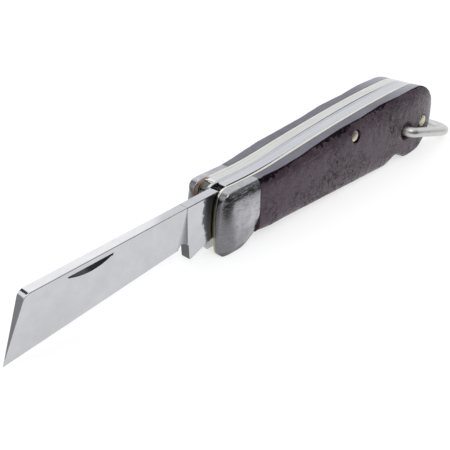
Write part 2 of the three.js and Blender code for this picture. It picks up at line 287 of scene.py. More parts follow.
def plate_rims(outline, holes, edge, hole_edge):
    radius = edge(outline[:, 0], outline[:, 1]) if callable(edge) else np.full(len(outline), edge)
    rims = [Rim(outline, radius, 0)]
    for centre, r in holes:
        loop = circle(centre, r)[::-1]
        rims.append(Rim(loop, np.full(len(loop), hole_edge), rims[-1].first + rims[-1].count))
    return rims


def tree_of(points):
    tree = kdtree.KDTree(len(points))
    for i, p in enumerate(points):
        tree.insert((p[0], p[1], 0), i)
    tree.balance()
    return tree


def clear_of(tree, points, gap):
    """Those of the points that stay more than gap away from the points in the tree."""
    return np.array([p for p in points if tree.find((p[0], p[1], 0))[2] > gap]).reshape(-1, 2)


def fill_face(fixed, bound, step, insets):
    """The fixed points of a face, then rings that follow its bound, then an even grid."""
    tree = tree_of(fixed)
    taken = [fixed]
    for inset, last in zip(insets, (0, *insets)):
        ring = bound + inward_normals(bound) * inset
        ring = ring[inside_polygon(ring[:, 0], ring[:, 1], bound)]
        taken.append(clear_of(tree, ring, 0.45 * (inset - last)))
    taken = np.concatenate(taken)
    grid = clear_of(tree_of(taken), grid_points(bound, step), 0.55 * step)
    return np.concatenate([taken, grid])


def triangulate(points, edges, rims):
    """The face's points, its triangles anticlockwise, and each given point's place among them."""
    made = geometry.delaunay_2d_cdt([Vector(p) for p in points], edges, [], 0, 1e-6, True)
    verts, triangles, originals = made[0], made[2], made[3]
    place = np.array([tuple(v) for v in verts])
    centres = np.array([place[list(t)].mean(0) for t in triangles])
    keep = inside_polygon(centres[:, 0], centres[:, 1], rims[0].rings[-1])
    for hole in rims[1:]:
        keep &= ~inside_polygon(centres[:, 0], centres[:, 1], hole.rings[-1])

    def turned(t):
        a, b, c = (place[i] for i in t)
        left = (b[0] - a[0]) * (c[1] - a[1]) - (b[1] - a[1]) * (c[0] - a[0]) > 0
        return t if left else t[::-1]

    index_of = {o: i for i, found in enumerate(originals) for o in found}
    return place, [turned(t) for use, t in zip(keep, triangles) if use], index_of


def plate(name, outline, near, far, holes=(), edge=0.1, hole_edge=0.08, step=0.7, insets=(), creases=()):
    """A plate between y = near(x, z), towards -Y, and y = far(x, z), both of them arrays' functions.

    edge and hole_edge are the radii that round its rims, and edge can be a function of x and z.
    insets are distances from the rim where extra rings of points follow it, and creases are lines
    of points that keep a fold sharp.
    """
    rims = plate_rims(outline, holes, edge, hole_edge)
    fixed = [p for rim in rims for p in rim.rings[-1]]
    edges = [pair for rim in rims for pair in rim.edges()]
    folds = []
    for line in creases:
        folds += [(len(fixed) + i, len(fixed) + i + 1) for i in range(len(line) - 1)]
        fixed += [np.array(p) for p in line]
    points = fill_face(np.array(fixed), rims[0].rings[-1], step, insets)
    place, triangles, index_of = triangulate(points, edges + folds, rims)

    bm = bmesh.new()
    sides = [vert_row(bm, place, face(place[:, 0], place[:, 1])) for face in (near, far)]
    for t in triangles:
        bm.faces.new([sides[0][i] for i in t])
        bm.faces.new([sides[1][i] for i in reversed(t)])
    for rim in rims:
        bounds = [[side[index_of[rim.first + i]] for i in range(rim.count)] for side in sides]
        rim.wall(bm, near, far, *bounds)
    sharp = [bm.edges.get([side[index_of[a]], side[index_of[b]]]) for a, b in folds for side in sides]
    loose = [v for v in bm.verts if not v.link_faces]
    bmesh.ops.delete(bm, geom=loose, context="VERTS")
    bmesh.ops.recalc_face_normals(bm, faces=bm.faces)
    return mesh_object(name, bm, [e for e in sharp if e])


def mesh_object(name, bm, sharp=()):
    """A smooth-shaded object whose sharp edges stay hard, as do all that turn by SHARP_ANGLE."""
    mesh = bpy.data.meshes.new(name)
    for f in bm.faces:
        f.smooth = True
    bm.edges.ensure_lookup_table()
    bm.edges.index_update()
    hard = [e.index for e in sharp if e.is_valid]
    bm.to_mesh(mesh)
    bm.free()
    mesh.set_sharp_from_angle(angle=SHARP_ANGLE)
    for i in hard:
        mesh.edges[i].use_edge_sharp = True
    made = bpy.data.objects.new(name, mesh)
    bpy.context.scene.collection.objects.link(made)
    weighted = made.modifiers.new("flat_faces", "WEIGHTED_NORMAL")
    weighted.keep_sharp = True
    return made


def flat_face(y):
    return lambda x, z: np.full(len(x), float(y))


def side_name(side, part):
    """side is -1 for the nail-nick side and +1 for the far side."""
    return ("obverse_" if side < 0 else "reverse_") + part


def side_plate(side, name, outline, outer, inner, **options):
    """A plate of one side of the knife, from its outer face to its inner one."""
    near, far = (outer, inner) if side < 0 else (inner, outer)
    return plate(name, outline, near, far, **options)


def soft_min(a, b, width):
    """The smaller of a and b, with the corner between them rounded over width."""
    h = np.clip(0.5 + (b - a) / (2 * width), 0, 1)
    return b + (a - b) * h - width * h * (1 - h)


def quarter_round(t, power=2):
    """From 0 at t = 0, ever more steeply up to 1 at t = 1, as a quarter of an oval goes."""
    return 1 - np.sqrt(np.maximum(1 - t**power, 0))


def bumps(x, z, scale, seed):
    """Smooth noise from -1 to 1 at each point."""
    return np.array([noise.noise(Vector((a / scale, b / scale, seed))) for a, b in zip(x, z)])


# ---------------------------------------------------------------- scales
CROWN_DEPTH = 5.0  # how far below the back the covers start to round over
# Half the knife's width over the covers, where their faces end at the back.
TOP_EDGE_X = [-2, 0.3, 6.6, 12.8, 20, 28, 35, 44, 51, 60, 72]
TOP_EDGE_Y = [5.2, 5.35, 6.0, 6.35, 6.0, 5.75, 6.3, 5.9, 6.5, 6.2, 5.4]
BELLY_ROUND = 6.4  # how far above the belly they are at their full width
BELLY_TUCK_X = [-1, 1, 4, 9, 49, 57]
BELLY_TUCK = [2.3, 1.8, 1.4, 1.7, 1.75, 1.2]  # how much narrower they are at the belly's edge
DISH_R = 4.2  # the ball that the hollow round the bail's end is cut with
DISH_DEPTH = 1.0
# Each pin's recess in the covers: its offset from the pin in x and z, and how much its radius is more.
MID_RECESS = (0.22, 0.0, 0.26)
BUTT_RECESS = (-0.28, -0.1, 0.4)
JOINT_GAP = 0.03  # from the bolster joint to the cover, and to the bolster


def scale_half_width(x, z):
    """Half the knife's width over the scales, |y| at each point of the side view."""
    up = np.clip((z - belly_z(x)) / BELLY_ROUND, 0, 1)
    belly = SCALE_Y - np.interp(x, BELLY_TUCK_X, BELLY_TUCK) * quarter_round(1 - up)
    down = np.clip(1 - (back_z(x) - z) / CROWN_DEPTH, 0, 1)
    top_edge = np.interp(x, TOP_EDGE_X, TOP_EDGE_Y)
    crown = SCALE_Y - (SCALE_Y - top_edge) * down**2.6
    front = np.clip(1 - (x + 2) / 16, 0, 1)
    butt = np.clip((x - 50) / 21.5, 0, 1)
    plan = SCALE_Y + 0.05 - 0.95 * front**1.7 - 3.0 * quarter_round(butt, 2.4)
    return soft_min(soft_min(belly, crown, 0.5), plan, 0.35)


def scale_face(x, z):
    """The covers' faces: their width, small dents and wrinkles, and the hollow at the bail's end."""
    y = scale_half_width(x, z)
    wrinkle = bumps(x, 0.45 * z, 1.7, 7.7) + 0.5 * bumps(x, 0.6 * z, 0.9, 2.2)
    y = y + 0.05 * bumps(x, z, 5.0, 3.1) + 0.045 * wrinkle - 0.03
    rho2 = (x - BAIL_PIVOT[0]) ** 2 + (z - BAIL_PIVOT[1]) ** 2
    dish = SCALE_Y + DISH_R - DISH_DEPTH - np.sqrt(np.maximum(DISH_R**2 - rho2, 0.01))
    dish = np.where(rho2 < DISH_R**2 - 0.02, dish, 99.0)
    return np.maximum(soft_min(y, dish, 0.25), LINER_OUT + 0.5)


def recess(pin, r, shape):
    return ((pin[0] + shape[0], pin[1] + shape[1]), r + shape[2])


def make_scale(side):
    name = side_name(side, "scale")
    outline = cut_outline(HANDLE, True) + np.array([JOINT_GAP, 0])
    holes = [recess(MID_PIN, MID_R, MID_RECESS), recess(BUTT_PIN, BUTT_R, BUTT_RECESS),
             (BAIL_PIVOT, BAIL_R + 0.14)]
    piece = side_plate(side, name + "_cover", outline, lambda x, z: side * scale_face(x, z),
                       flat_face(side * LINER_OUT), holes=holes, edge=0.2, hole_edge=0.12, step=0.42,
                       insets=(0.2, 0.5))
    return piece, name


# ---------------------------------------------------------------- bolsters
# Half the knife's width over the bolsters, by height and by height over the waist's lower edge.
BOLSTER_Z = [-0.6, 0.2, 0.9, 2.0, 4.0, 5.8, 7.8, 9.8, 11.4, 12.5, 13.3, 13.9, 14.6]
BOLSTER_W = [4.9, 5.3, 5.6, 5.8, 5.98, 6.12, 6.2, 6.24, 6.22, 6.14, 5.95, 5.65, 5.2]
WAIST_RISE = [-0.6, 0.4, 2.5, 5.6, 9.0]
WAIST_W = [4.1, 4.65, 5.5, 6.4, 7.2]
WAIST_Z0 = 1.6  # height of the waist's lower edge at X = 0
WAIST_SLOPE = 0.7
DOME_LENGTH = 2.7
DOME_FRONT = 4.0  # half the width at the very front


def smooth_table(x, xs, ys):
    """A smooth curve through a few points: a cubic from each to the next, with matching slopes."""
    xs, ys = np.array(xs, float), np.array(ys, float)
    slope = np.gradient(ys, xs)
    i = np.clip(np.searchsorted(xs, x) - 1, 0, len(xs) - 2)
    h = xs[i + 1] - xs[i]
    t = np.clip((x - xs[i]) / h, 0, 1)
    a = (1 + 2 * t) * (1 - t) ** 2 * ys[i] + t * (1 - t) ** 2 * h * slope[i]
    b = t * t * (3 - 2 * t) * ys[i + 1] + t * t * (t - 1) * h * slope[i + 1]
    return a + b


def bolster_face(x, z):
    full = smooth_table(z, BOLSTER_Z, BOLSTER_W)
    waist = smooth_table(z - WAIST_Z0 - WAIST_SLOPE * x, WAIST_RISE, WAIST_W)
    full = soft_min(full, waist, 0.3)
    back = np.clip((x - front_x(np.clip(z, 4.0, 12.0))) / DOME_LENGTH, 0, 1)
    y = full - (full - DOME_FRONT) * quarter_round(1 - back, 2.2)
    return y + 0.012 * bumps(x, z, 3.0, 1.3)


def make_bolster(side):
    name = side_name(side, "bolster")
    outline = cut_outline(HANDLE, False) - np.array([JOINT_GAP, 0])
    piece = side_plate(side, name + "_cap", outline, lambda x, z: side * bolster_face(x, z),
                       flat_face(side * LINER_OUT), edge=0.16, step=0.35, insets=(0.08, 0.2, 0.4, 0.7))
    return piece, name


# ---------------------------------------------------------------- liners
PIN_GAP = 0.05  # round a pin, in the plates it passes through
PIVOT_HOLE = (PIVOT, PIVOT_R + PIN_GAP)
SPRING_HOLES = [(MID_PIN, MID_R + PIN_GAP), (BUTT_PIN, BUTT_R + PIN_GAP)]
LINER_HOLES = [PIVOT_HOLE, *SPRING_HOLES]


def liner_relief(x, z):
    """The nail-nick side's liner is thinned where the main blade's tang passes it."""
    return -LINER_IN - 0.02 - 0.2 * np.clip((12 - x) / 12, 0, 1)


def make_liner(side):
    name = side_name(side, "liner")
    inner = liner_relief if side < 0 else flat_face(side * LINER_IN)
    piece = side_plate(side, name + "_plate", HANDLE, flat_face(side * LINER_OUT), inner,
                       holes=[*LINER_HOLES, (BAIL_PIVOT, BAIL_R + 0.1)], edge=0.05, hole_edge=0.04,
                       step=2.5)
    return piece, name


CENTRE_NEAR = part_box("centre_liner")[0].y / MM
CENTRE_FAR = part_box("centre_liner")[1].y / MM


def make_centre_liner():
    piece = plate("centre_liner_plate", HANDLE, flat_face(CENTRE_NEAR), flat_face(CENTRE_FAR), LINER_HOLES,
                  edge=0.05, hole_edge=0.04, step=2.5)
    return piece, "centre_liner"


# ---------------------------------------------------------------- springs
SPRING_UNDER_Z = 11.75  # the underside of the springs' arms over the tangs
SPRING_TAIL = (59.8, 3.2)  # the lower front corner of the block at the butt
LIFTER_SPRING_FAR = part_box("lifter_spring")[1].y / MM


def spring_outline(front, nose):
    """The thin arm over the tang, the deep middle at the pin and the block down the butt."""
    o = Outline(front, SPRING_UNDER_Z + 0.1)
    o.line(front + 0.1, SPRING_UNDER_Z)
    o.line(9.0, SPRING_UNDER_Z)
    o.cubic(16, SPRING_UNDER_Z, 22, 11.1, 29, 11.0)
    o.line(37, 11.0)
    o.cubic(44, 11.2, 49, 12.8, 54, 12.8)
    o.cubic(58.6, 12.8, 59.2, 10.5, 59.4, 8.4)
    o.line(*SPRING_TAIL)
    rim = [p for p in HANDLE if p[0] > front + nose and (p[1] > MIDDLE_Z or p[0] > SPRING_TAIL[0])]
    rim = [p for p in rim if p[1] > SPRING_TAIL[1]]
    o.line(rim[0][0] - 0.05, SPRING_TAIL[1])
    o.points += [tuple(p) for p in rim]
    top = float(back_z(front + nose))
    o.quad(front + 0.02, top - 0.02, front, top - nose)
    o.line(front, SPRING_UNDER_Z + 0.1)
    return o.close()


def lifter_gap(x, z):
    """The far spring's near face, with a slit beside it along the middle of the back."""
    slit = np.clip((x - 8) / 30, 0, 1) * np.clip((58 - x) / 10, 0, 1)
    return CENTRE_FAR + 0.05 + 0.24 * slit


def main_gap(x, z):
    """The near spring's near face, which stands off the liner towards the front."""
    return -LINER_IN + 0.03 + 0.16 * np.clip((17 - x) / 12, 0, 1)


def make_spring(name, front, nose, near, far):
    """front is where the spring starts, and nose the radius of its upper front corner."""
    piece = plate(name + "_bar", spring_outline(front, nose), near, far, SPRING_HOLES, edge=0.09,
                  hole_edge=0.05, step=1.5)
    return piece, name


# ---------------------------------------------------------------- main blade
BLADE_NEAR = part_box("main_blade")[0].y / MM
BLADE_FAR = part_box("main_blade")[1].y / MM
BLADE_MID = (BLADE_NEAR + BLADE_FAR) / 2
BLADE_HALF = (BLADE_FAR - BLADE_NEAR) / 2
TIP = (-59.6, 0.05)
HEEL = (-19.3, 4.4)
SPINE_FRONT = (-52.6, 12.35)
SHOULDER = (-8.4, 14.1)
KICK_X = -17.5
EDGE_SLOPE = (HEEL[1] - TIP[1]) / (HEEL[0] - TIP[0])
EDGE_HALF = 0.07
PLUNGE_FOOT = (-17.65, 4.9)  # the plunge leans between these two points
PLUNGE_TOP = (-17.1, 12.6)
PLUNGE_LEAN = (PLUNGE_TOP[0] - PLUNGE_FOOT[0]) / (PLUNGE_TOP[1] - PLUNGE_FOOT[1])
PLUNGE_LENGTH = 2.5
KEEN_R = 0.05  # radii of the blade's edges: the cutting edge, the clip's, and all others
CLIP_R = 0.08
EASED_R = 0.16
# Behind this, towards the pivot, the tang's side carries a painted reflection of the dark bolster front.
TANG_REFLECTION_X = -12.0
NICK = ((-45.6, 11.55), (-34.8, 11.95))  # the two ends of the nail nick
NICK_LOW_Z = 9.1  # what its lower rim bends towards
NICK_DEPTH = 0.75


def blade_outline():
    o = Outline(*TIP, step=0.35)
    o.line(*HEEL)
    o.quad(-18.9, 5.5, -18.3, 5.6)
    o.line(KICK_X, 5.5)
    o.line(KICK_X, 2.2)
    o.quad(KICK_X + 0.05, 1.8, KICK_X + 0.6, 1.85)
    o.line(-13.4, 3.2)
    o.line(-10.2, 4.1)
    start = -math.pi / 2 - 0.95
    o.quad(-9.2, 4.4, PIVOT[0] + TANG_R * math.cos(start), PIVOT[1] + TANG_R * math.sin(start))
    o.arc(PIVOT, TANG_R, start, math.pi / 2)
    shelf = PIVOT[1] + TANG_R
    o.line(SHOULDER[0] + 0.5, shelf)
    o.quad(SHOULDER[0], shelf, SHOULDER[0], shelf + 0.5)
    o.line(SHOULDER[0], SHOULDER[1] - 0.3)
    o.quad(SHOULDER[0], SHOULDER[1], SHOULDER[0] - 0.4, SHOULDER[1] - 0.02)
    o.line(*SPINE_FRONT)
    o.quad(-53.7, 12.2, -54.2, 11.0)
    o.line(*TIP)
    return o.close()


SPINE_SLOPE = (SHOULDER[1] - SPINE_FRONT[1]) / (SHOULDER[0] - SPINE_FRONT[0])


def edge_z(x):
    return TIP[1] + EDGE_SLOPE * (x - TIP[0])


def spine_z(x):
    return SPINE_FRONT[1] + SPINE_SLOPE * (x - SPINE_FRONT[0])


def blade_edge_radius(x, z):
    """The cutting edge stays keen; the spine, clip, kick and tang are eased."""
    on_edge = (z < edge_z(x) + 0.3) & (x < HEEL[0] + 0.1)
    clip = np.minimum(CLIP_R, 0.2 * blade_half(x, z))
    return np.where(on_edge, KEEN_R, np.where(x < SPINE_FRONT[0] - 0.8, clip, EASED_R))


def plunge_x(z):
    """Where the grind ends and the flat tang begins."""
    return np.interp(z, [PLUNGE_FOOT[1], PLUNGE_TOP[1]], [PLUNGE_FOOT[0], PLUNGE_TOP[0]])


def blade_half(x, z):
    """Half the blade's thickness: flat tang, a plunge, then a straight grind from spine to edge."""
    share = np.clip((z - edge_z(x)) / (spine_z(x) - edge_z(x)), 0, 1)
    ground = EDGE_HALF + (BLADE_HALF - EDGE_HALF) * share
    depth = BLADE_HALF - ground
    run = PLUNGE_LENGTH * np.clip(depth, 0.06, None) / BLADE_HALF
    t = np.clip(1 - (plunge_x(z) - x) / run, 0, 1)
    rise = np.where(x > plunge_x(z), 1.0, quarter_round(t))
    return ground + depth * rise


def nick_line(t):
    """The nick's straight upper rim, from t = 0 at its front to 1."""
    (x0, z0), (x1, z1) = NICK
    return x0 + (x1 - x0) * t, z0 + (z1 - z0) * t


def nick_low(t):
    """The height of the nick's curved lower rim."""
    return (1 - t) ** 2 * NICK[0][1] + 2 * t * (1 - t) * NICK_LOW_Z + t * t * NICK[1][1]


def nick_depth(x, z):
    t = np.clip((x - NICK[0][0]) / (NICK[1][0] - NICK[0][0]), 0.001, 0.999)
    height = np.maximum(nick_line(t)[1] - nick_low(t), 0.01)
    tallest = (NICK[0][1] + NICK[1][1]) / 4 - NICK_LOW_Z / 2
    share = (z - nick_low(t)) / height
    inside = (x > NICK[0][0]) & (x < NICK[1][0]) & (share > 0) & (share < 1.0)
    return np.where(inside, NICK_DEPTH * np.clip(height / tallest, 0, 1) * share, 0.0)


def nick_lines():
    """The nick's upper rim, the foot of its wall just under it, and its lower rim."""
    ts = np.linspace(0, 1, 30)
    upper = [nick_line(t) for t in ts]
    rim = [(x, z + 0.03) for x, z in upper]
    foot = [(x, z - 0.03) for x, z in upper[1:-1]]
    low = [(x, nick_low(t)) for (x, _), t in zip(upper[2:-2], ts[2:-2])]
    return [rim, foot, low]


def make_blade():
    def near(x, z):
        return BLADE_MID - blade_half(x, z) + nick_depth(x, z)

    def far(x, z):
        return BLADE_MID + blade_half(x, z)

    plunge = [(float(plunge_x(z)), z) for z in np.linspace(5.8, 13.2, 26)]
    foot = [(x - 0.05, z) for x, z in plunge]
    piece = plate("main_blade_steel", blade_outline(), near, far, [PIVOT_HOLE],
                  edge=blade_edge_radius, hole_edge=0.05, step=0.5, insets=(0.12, 0.3),
                  creases=[plunge, foot, *nick_lines()])
    return piece, "main_blade"


# ---------------------------------------------------------------- bark lifter
LIFTER_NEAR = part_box("bark_lifter")[0].y / MM
LIFTER_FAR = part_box("bark_lifter")[1].y / MM
LIFTER_TANG_TURN = 0.62  # how far its round tang goes past the top, towards the butt, in radians


def lifter_outline():
    o = Outline(PIVOT[0], PIVOT[1] - TANG_R)
    o.line(2.0, belly_z(2.0) + 0.55)
    o.line(40.0, belly_z(40) + 0.55)
    o.cubic(46.0, 0.9, 50.6, 2.7, 52.6, 4.4)
    o.cubic(54.2, 5.9, 50.0, 7.0, 44.0, 7.2)
    o.line(10.0, 8.2)
    o.quad(6.2, 8.4, 5.4, 9.6)
    o.quad(4.9, 10.9, 3.4, 10.9)
    o.arc(PIVOT, TANG_R, math.pi / 2 - LIFTER_TANG_TURN, 1.5 * math.pi)
    return o.close()


def make_lifter():
    """A flat bar that thins towards its nose."""
    mid = (LIFTER_NEAR + LIFTER_FAR) / 2
    full = (LIFTER_FAR - LIFTER_NEAR) / 2

    def half(x):
        return full + (0.4 - full) * np.clip((x - 8) / 50, 0, 1)

    piece = plate("bark_lifter_steel", lifter_outline(), lambda x, z: mid - half(x),
                  lambda x, z: mid + half(x), [PIVOT_HOLE], edge=0.15, hole_edge=0.05, step=1.2)
    return piece, "bark_lifter"


# ---------------------------------------------------------------- pins and rivets
def lathe_pin(name, centre, profile, sides=64):
    """A turned pin across the knife. profile holds (radius, y) from its -Y end to its +Y end."""
    bm = bmesh.new()
    rings = []
    for r, y in profile:
        if r == 0:
            rings.append([bm.verts.new(to_row(centre[0], y, centre[1]))])
            continue
        ring = [(centre[0] + r * math.cos(a), centre[1] + r * math.sin(a))
                for a in np.linspace(0, 2 * math.pi, sides, endpoint=False)]
        rings.append([bm.verts.new(to_row(x, y, z)) for x, z in ring])
    for a, b in zip(rings[:-1], rings[1:]):
        for i in range(sides):
            j = (i + 1) % sides
            if len(a) == 1:
                bm.faces.new([a[0], b[i], b[j]])
            elif len(b) == 1:
                bm.faces.new([a[i], b[0], a[j]])
            else:
                bm.faces.new([a[i], b[i], b[j], a[j]])
    bmesh.ops.recalc_face_normals(bm, faces=bm.faces)
    return mesh_object(name, bm)


def make_pin(node, centre, r, reach, dome):
    """A pin that reaches so far to both sides, its ends domed and rounded at the rim."""
    rim = 0.18
    half = [(0, -reach), (0.35 * r, -reach + 0.12 * dome), (0.7 * r, -reach + 0.5 * dome)]
    half += [(r - rim, -reach + dome), (r - 0.3 * rim, -reach + dome + 0.3 * rim), (r, -reach + dome + rim)]
    profile = half + [(a, -b) for a, b in reversed(half)]
    return lathe_pin(node + "_turned", centre, profile), node


def make_rivet(side):
    node = side_name(side, "rivet")
    low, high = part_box(node)
    centre = (centre_mm(node).x + ORIGIN_X, centre_mm(node).z)
    r = size_mm(node).x / 2
    profile = [(0, low.y / MM), (r - 0.1, low.y / MM), (r, low.y / MM + 0.1)]
    profile += [(r, high.y / MM - 0.1), (r - 0.1, high.y / MM), (0, high.y / MM)]
    return lathe_pin(node + "_turned", centre, profile, 32), node


# ---------------------------------------------------------------- bail
def bail_path():
    """The wire's centreline: in from one side, along the handle, round the bow and back."""
    w, bend = BAIL_HALF, BAIL_BEND

    def at(along, y):
        share = along / BAIL_REACH
        return Vector((BAIL_PIVOT[0] + BAIL_RUN * share, y, BAIL_PIVOT[1] - BAIL_DROP * share))

    half = [at(0, -BAIL_END_Y - (w - bend - BAIL_END_Y) * t) for t in np.linspace(0, 1, 8)]
    for a in np.linspace(0, math.pi / 2, 13)[1:]:
        half.append(at(bend * (1 - math.cos(a)), -(w - bend) - bend * math.sin(a)))
    half += [at(bend + (BAIL_REACH - w - bend) * t, -w) for t in np.linspace(0, 1, 22)[1:]]
    for a in np.linspace(0, math.pi / 2, 29)[1:]:
        half.append(at(BAIL_REACH - w + w * math.sin(a), -w * math.cos(a)))
    return half + [Vector((p.x, -p.y, p.z)) for p in reversed(half[:-1])]


def make_bail(sides=28):
    path = bail_path()
    bm = bmesh.new()
    up = Vector((BAIL_DROP, 0, BAIL_RUN)).normalized()  # across the plane that the bail lies in
    rings = []
    for i, p in enumerate(path):
        before, after = path[max(i - 1, 0)], path[min(i + 1, len(path) - 1)]
        across = (after - before).normalized().cross(up)
        ring = []
        for k in range(sides):
            a = 2 * math.pi * k / sides
            q = p + WIRE_R * (math.cos(a) * across + math.sin(a) * up)
            ring.append(bm.verts.new(to_row(*q)))
        rings.append(ring)
    for a, b in zip(rings[:-1], rings[1:]):
        for k in range(sides):
            bm.faces.new([a[k], b[k], b[(k + 1) % sides], a[(k + 1) % sides]])
    bm.faces.new(rings[0])
    bm.faces.new(list(reversed(rings[-1])))
    bmesh.ops.recalc_face_normals(bm, faces=bm.faces)
    return mesh_object("bail_wire", bm), "bail"


# ---------------------------------------------------------------- materials
class Nodes:
    """A small helper to write a material's node tree."""

    def __init__(self, name):
        self.material = bpy.data.materials.new(name)
        self.material.use_nodes = True
        self.tree = self.material.node_tree
        self.bsdf = self.tree.nodes["Principled BSDF"]
        coords = self.tree.nodes.new("ShaderNodeTexCoord")
        self.place = self.scaled(coords.outputs["Object"], (1 / MM, 1 / MM, 1 / MM))

    def feed(self, socket, value):
        """Sets a socket to a number or a colour, or links another node's output to it."""
        if isinstance(value, (int, float)):
            socket.default_value = value
        elif isinstance(value, tuple):
            socket.default_value = (*value, 1)
        else:
            self.tree.links.new(value, socket)

    def scaled(self, vector, scale):
        node = self.tree.nodes.new("ShaderNodeMapping")
        node.inputs["Scale"].default_value = scale
        self.feed(node.inputs["Vector"], vector)
        return node.outputs["Vector"]

    def noise(self, scale, detail, rough, stretch=(1, 1, 1), distortion=0.0):
        node = self.tree.nodes.new("ShaderNodeTexNoise")
        node.inputs["Scale"].default_value = scale
        node.inputs["Detail"].default_value = detail
        node.inputs["Roughness"].default_value = rough
        node.inputs["Distortion"].default_value = distortion
        self.feed(node.inputs["Vector"], self.scaled(self.place, stretch))
        return node.outputs["Fac"]

    def axis(self, name):
        """One coordinate of the point, in mm, X counted from the bolster joint."""
        node = self.tree.nodes.new("ShaderNodeSeparateXYZ")
        self.feed(node.inputs[0], self.place)
        if name != "X":
            return node.outputs[name]
        return self.plus(node.outputs["X"], ORIGIN_X)

    def facing(self, name):
        """How far the surface faces along one axis, before any bump."""
        node = self.tree.nodes.new("ShaderNodeSeparateXYZ")
        self.feed(node.inputs[0], self.tree.nodes.new("ShaderNodeTexCoord").outputs["Normal"])
        return node.outputs[name]

    def span(self, value, low, high):
        """0 below low and 1 above high, or the reverse when low is the greater."""
        node = self.tree.nodes.new("ShaderNodeMapRange")
        node.interpolation_type = "SMOOTHSTEP"
        self.feed(node.inputs["Value"], value)
        self.feed(node.inputs["From Min"], low)
        self.feed(node.inputs["From Max"], high)
        return node.outputs["Result"]

    def ramp(self, fac, stops):
        """stops holds (position, value or colour)."""
        node = self.tree.nodes.new("ShaderNodeValToRGB")
        ramp = node.color_ramp
        while len(ramp.elements) < len(stops):
            ramp.elements.new(0.5)
        for e, (at, value) in zip(ramp.elements, stops):
            e.position = at
            e.color = (*value, 1) if hasattr(value, "__len__") else (value, value, value, 1)
        self.feed(node.inputs["Fac"], fac)
        return node.outputs["Color"]

    def maths(self, kind, *values):
        node = self.tree.nodes.new("ShaderNodeMath")
        node.operation = kind
        for socket, value in zip(node.inputs, values):
            self.feed(socket, value)
        return node.outputs["Value"]

    def plus(self, a, b):
        return self.maths("ADD", a, b)

    def minus(self, a, b):
        return self.maths("SUBTRACT", a, b)

    def times(self, a, b):
        return self.maths("MULTIPLY", a, b)

    def larger(self, a, b):
        return self.maths("MAXIMUM", a, b)

    def size(self, a):
        return self.maths("ABSOLUTE", a)

    def mix(self, fac, a, b):
        node = self.tree.nodes.new("ShaderNodeMix")
        node.data_type = "RGBA"
        for index, value in ((0, fac), (6, a), (7, b)):  # the factor and the two colours
            self.feed(node.inputs[index], value)
        return node.outputs[2]

    def bump(self, height, distance, normal=None):
        """Bumps of the height's 0 to 1 times a distance in mm."""
        node = self.tree.nodes.new("ShaderNodeBump")
        node.inputs["Distance"].default_value = distance * MM
        self.feed(node.inputs["Height"], height)
        if normal:
            self.feed(node.inputs["Normal"], normal)
        return node.outputs["Normal"]

    def set(self, **values):
        for name, value in values.items():
            self.feed(self.bsdf.inputs[name.replace("_", " ").title().replace("Ior", "IOR")], value)
        return self.material


def metal(name, colour, rough, grain, depth, wear, scratch=0.0, painted_shade=None, drift=(1.0, 1.0, 1.0)):
    """Metal with a directional grain, cloudy wear and, where asked, scratches.

    grain stretches the grain's noise, and drift the wear's, so that it runs in streaks.
    depth and scratch are the grain's and the scratches' depths, in mm.
    A function of painted shade, where given, makes a mask where shade and dark reflections are painted on,
    with their colour and how much rougher the metal is there.
    """
    n = Nodes(name)
    cloud = n.noise(0.35, 5, 0.6, stretch=drift)
    fine = n.noise(1.0, 6, 0.7, stretch=grain)
    dark = tuple(c * (1 - wear) for c in colour)
    tint = n.mix(n.ramp(cloud, [(0.3, 0.0), (0.7, 1.0)]), dark, colour)
    roughness = n.maths("MULTIPLY_ADD", cloud, rough * 0.7, rough * 0.65)
    normal = n.bump(fine, depth)
    if scratch:
        lines = n.noise(1.0, 2, 0.5, stretch=(0.5, 0.5, 14.0), distortion=0.6)
        cut = n.ramp(lines, [(0.0, 0.0), (0.62, 0.0), (0.66, 1.0), (1.0, 1.0)])
        normal = n.bump(cut, scratch, normal=normal)
    if painted_shade:
        # Painted shade and painted dark reflections, where a mask is given.
        mask, shade_colour, extra_rough = painted_shade(n)
        tint = n.mix(mask, tint, shade_colour)
        roughness = n.plus(roughness, n.times(mask, extra_rough))
    return n.set(base_color=tint, metallic=1.0, roughness=roughness, normal=normal)


def bolster_dark_reflection(n):
    """Painted dark reflection round the bolster's domed front and painted shade along its lower edge, where
    the metal is also rougher.
    """
    lean = n.times(n.minus(n.axis("Z"), 8.0), 0.16)
    x = n.plus(n.plus(n.axis("X"), lean), n.times(n.noise(0.4, 5, 0.65), 1.6))
    front = n.span(x, -5.4, -8.2)
    lower_edge = n.larger(n.times(n.plus(n.axis("X"), 4.0), 0.4), 0.0)
    rise = n.minus(n.plus(n.axis("Z"), n.noise(0.8, 4, 0.6)), lower_edge)
    low = n.span(n.plus(n.axis("Z"), n.times(n.noise(0.5, 4, 0.6), 2.0)), 7.5, 2.5)
    shade = n.larger(n.times(front, 0.75), n.times(low, 0.45))
    rim = n.times(n.span(rise, 2.5, 1.3), 0.95)
    return n.larger(shade, rim), (0.12, 0.119, 0.127), 0.05


